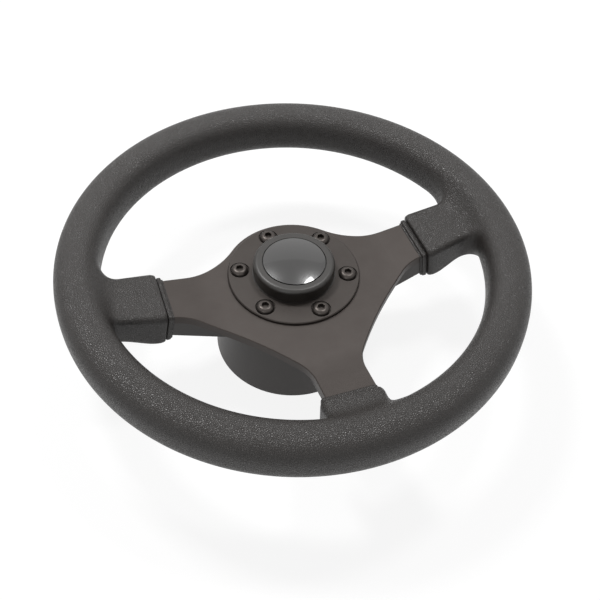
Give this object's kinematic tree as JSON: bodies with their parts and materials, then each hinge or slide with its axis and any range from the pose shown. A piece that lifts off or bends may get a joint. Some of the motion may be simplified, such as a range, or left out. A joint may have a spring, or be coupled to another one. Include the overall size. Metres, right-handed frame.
{
  "type": "boat steering wheel",
  "caption": "Small spoked boat steering wheel: soft moulded grip, dark metal spoke plate, trim ring with screws, lift-out centre cap and a deep tapered hub bell with a keyed bore.",
  "frame": {"origin": "centre of the hub's rear face, which meets the helm", "axes": "+Z along the shaft's axis towards the driver, -Y along the bottom spoke, +X towards the driver's right hand"},
  "size_m": [0.28, 0.28, 0.0836],
  "materials": {
    "core_rod": "as drawn",
    "grip_foam": "fine leather grain, matt",
    "hub_moulding": "fine spark texture",
    "plate_anodised": "satin dark brown grey anodising",
    "ring_anodised": "satin dark brown grey anodising",
    "insert_metal": "cast, bore machined",
    "cap_moulding": "satin",
    "pad_foam": "closed cell foam with adhesive",
    "dome_gloss": "clear gloss over a plain dark ground",
    "screw_steel": "black passivated stainless steel",
    "brass": "as turned, knurled"
  },
  "bodies": {
    "wheel": {"rim_core": "core_rod", "rim_grip": "grip_foam", "sleeve_left": "grip_foam", "sleeve_right": "grip_foam", "sleeve_bottom": "grip_foam", "hub": "hub_moulding", "hub_bell": "hub_moulding", "spoke_plate": "plate_anodised", "trim_ring": "ring_anodised", "taper_insert": "insert_metal", "screw_1": "screw_steel", "threaded_insert_1": "brass", "screw_2": "screw_steel", "threaded_insert_2": "brass", "screw_3": "screw_steel", "threaded_insert_3": "brass", "screw_4": "screw_steel", "threaded_insert_4": "brass", "screw_5": "screw_steel", "threaded_insert_5": "brass", "screw_6": "screw_steel", "threaded_insert_6": "brass"},
    "cap": {"cap_body": "cap_moulding", "cap_pad": "pad_foam", "cap_dome": "dome_gloss"}
  },
  "joints": [
    {"name": "cap_pull", "type": "slide", "parent": "wheel", "child": "cap", "axis": [0, 0, 1], "range_m": [0, 0.015]}
  ]
}
